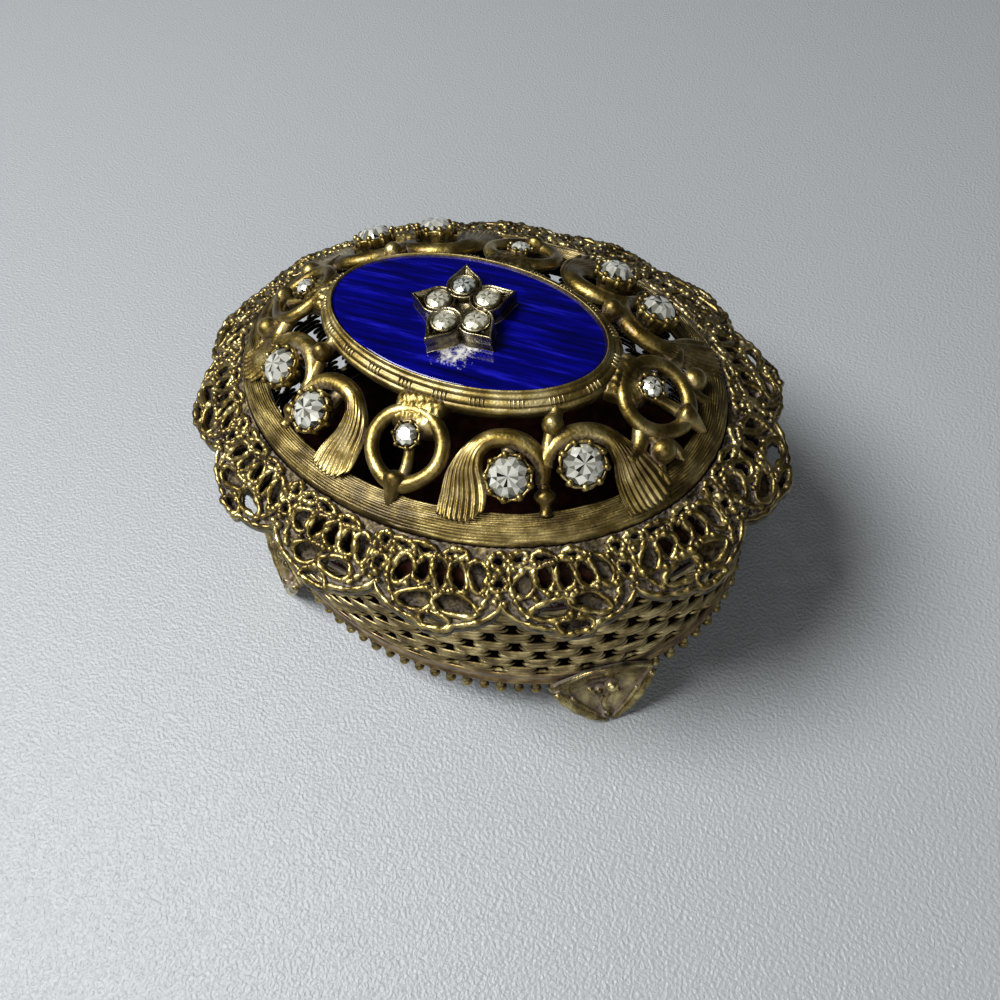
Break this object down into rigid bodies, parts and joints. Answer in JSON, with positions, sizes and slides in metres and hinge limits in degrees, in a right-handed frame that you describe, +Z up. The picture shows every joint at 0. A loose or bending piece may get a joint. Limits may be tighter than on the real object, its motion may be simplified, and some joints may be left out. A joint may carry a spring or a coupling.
{
  "type": "filigree trinket box",
  "caption": "Small oval filigree jewel box with a basket-weave wall, leaf feet, and a lift-off lid with lace border, scroll openwork, rhinestones and a blue enamel plaque.",
  "frame": {"origin": "on the table under the middle of the box, level with the tips of the feet", "axes": "+Z up, X along the long side of the oval, the front faces -Y"},
  "size_m": [0.08, 0.0636, 0.0494],
  "materials": {
    "antique_gilt": "antiqued gilt, dark in the recesses",
    "bright_gilt": "worn gilt, bright on the high places",
    "star_gilt": "silvery worn gilt",
    "blue_enamel": "glossy translucent enamel over an engine-turned ground",
    "rhinestone": "faceted, foil backed"
  },
  "bodies": {
    "root": {"basket_wall": "antique_gilt", "base_plate": "antique_gilt", "bead_rim": "antique_gilt", "lid_openwork": "bright_gilt", "lace_border": "antique_gilt", "bezel": "bright_gilt", "enamel_plaque": "blue_enamel", "star": "star_gilt", "star_stone_1": "rhinestone", "star_stone_2": "rhinestone", "star_stone_3": "rhinestone", "star_stone_4": "rhinestone", "star_stone_5": "rhinestone", "foot_front_right": "antique_gilt", "cup_front_right_near": "bright_gilt", "stone_front_right_near": "rhinestone", "cup_front_right_far": "bright_gilt", "stone_front_right_far": "rhinestone", "foot_front_left": "antique_gilt", "cup_front_left_near": "bright_gilt", "stone_front_left_near": "rhinestone", "cup_front_left_far": "bright_gilt", "stone_front_left_far": "rhinestone", "foot_back_left": "antique_gilt", "cup_back_left_near": "bright_gilt", "stone_back_left_near": "rhinestone", "cup_back_left_far": "bright_gilt", "stone_back_left_far": "rhinestone", "foot_back_right": "antique_gilt", "cup_back_right_near": "bright_gilt", "stone_back_right_near": "rhinestone", "cup_back_right_far": "bright_gilt", "stone_back_right_far": "rhinestone", "cup_right": "bright_gilt", "stone_right": "rhinestone", "cup_back": "bright_gilt", "stone_back": "rhinestone", "cup_left": "bright_gilt", "stone_left": "rhinestone", "cup_front": "bright_gilt", "stone_front": "rhinestone"}
  },
  "joints": []
}
